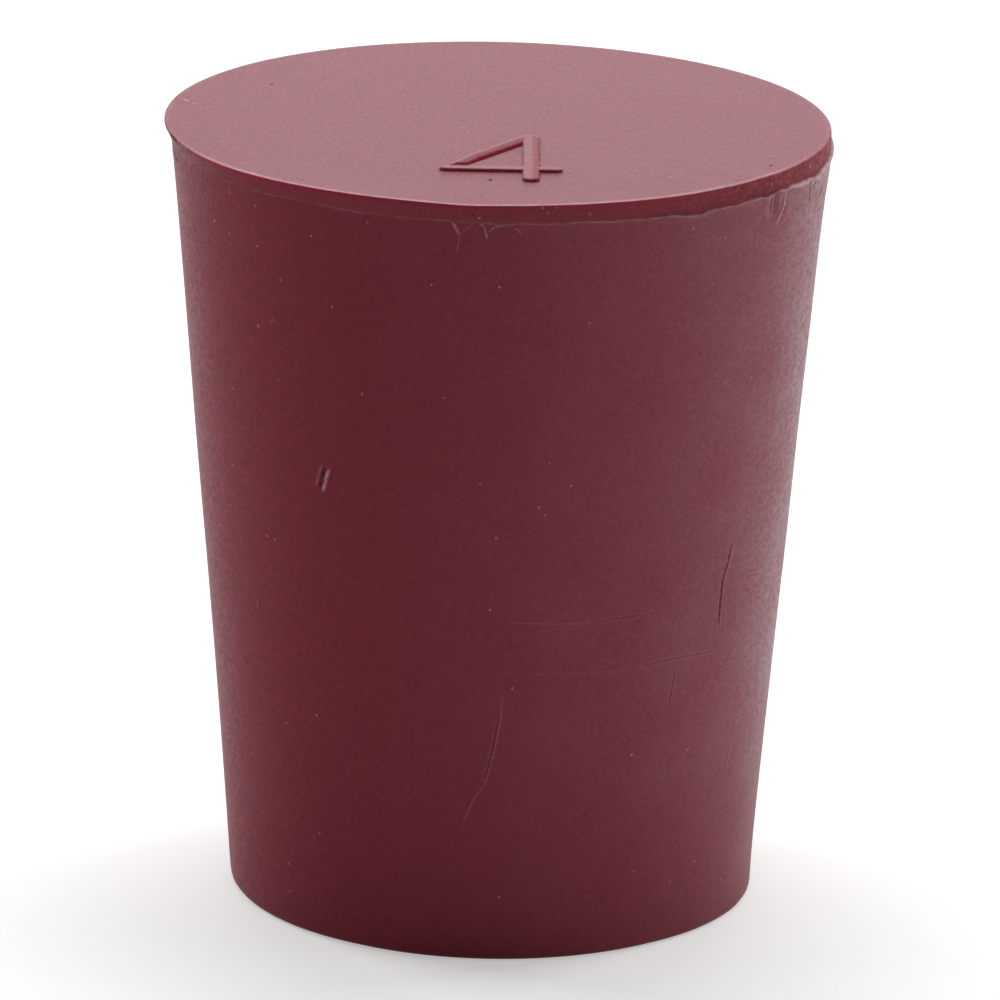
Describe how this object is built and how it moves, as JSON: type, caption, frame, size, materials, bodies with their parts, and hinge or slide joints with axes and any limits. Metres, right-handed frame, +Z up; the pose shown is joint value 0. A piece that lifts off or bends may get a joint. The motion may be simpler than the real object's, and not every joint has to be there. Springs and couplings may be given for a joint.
{
  "type": "rubber stopper",
  "caption": "Solid tapered plug of red rubber for glassware necks, with a thin moulded rim round its large numbered face.",
  "frame": {"origin": "centre of the small end face, which the stopper stands on", "axes": "+Z up the axis from the small face to the large face; the numeral on the large face reads upright seen from -Y"},
  "size_m": [0.022, 0.022, 0.0263],
  "materials": {
    "red_rubber": "matte, with a faint pale bloom"
  },
  "bodies": {
    "root": {"stopper": "red_rubber"}
  },
  "joints": []
}
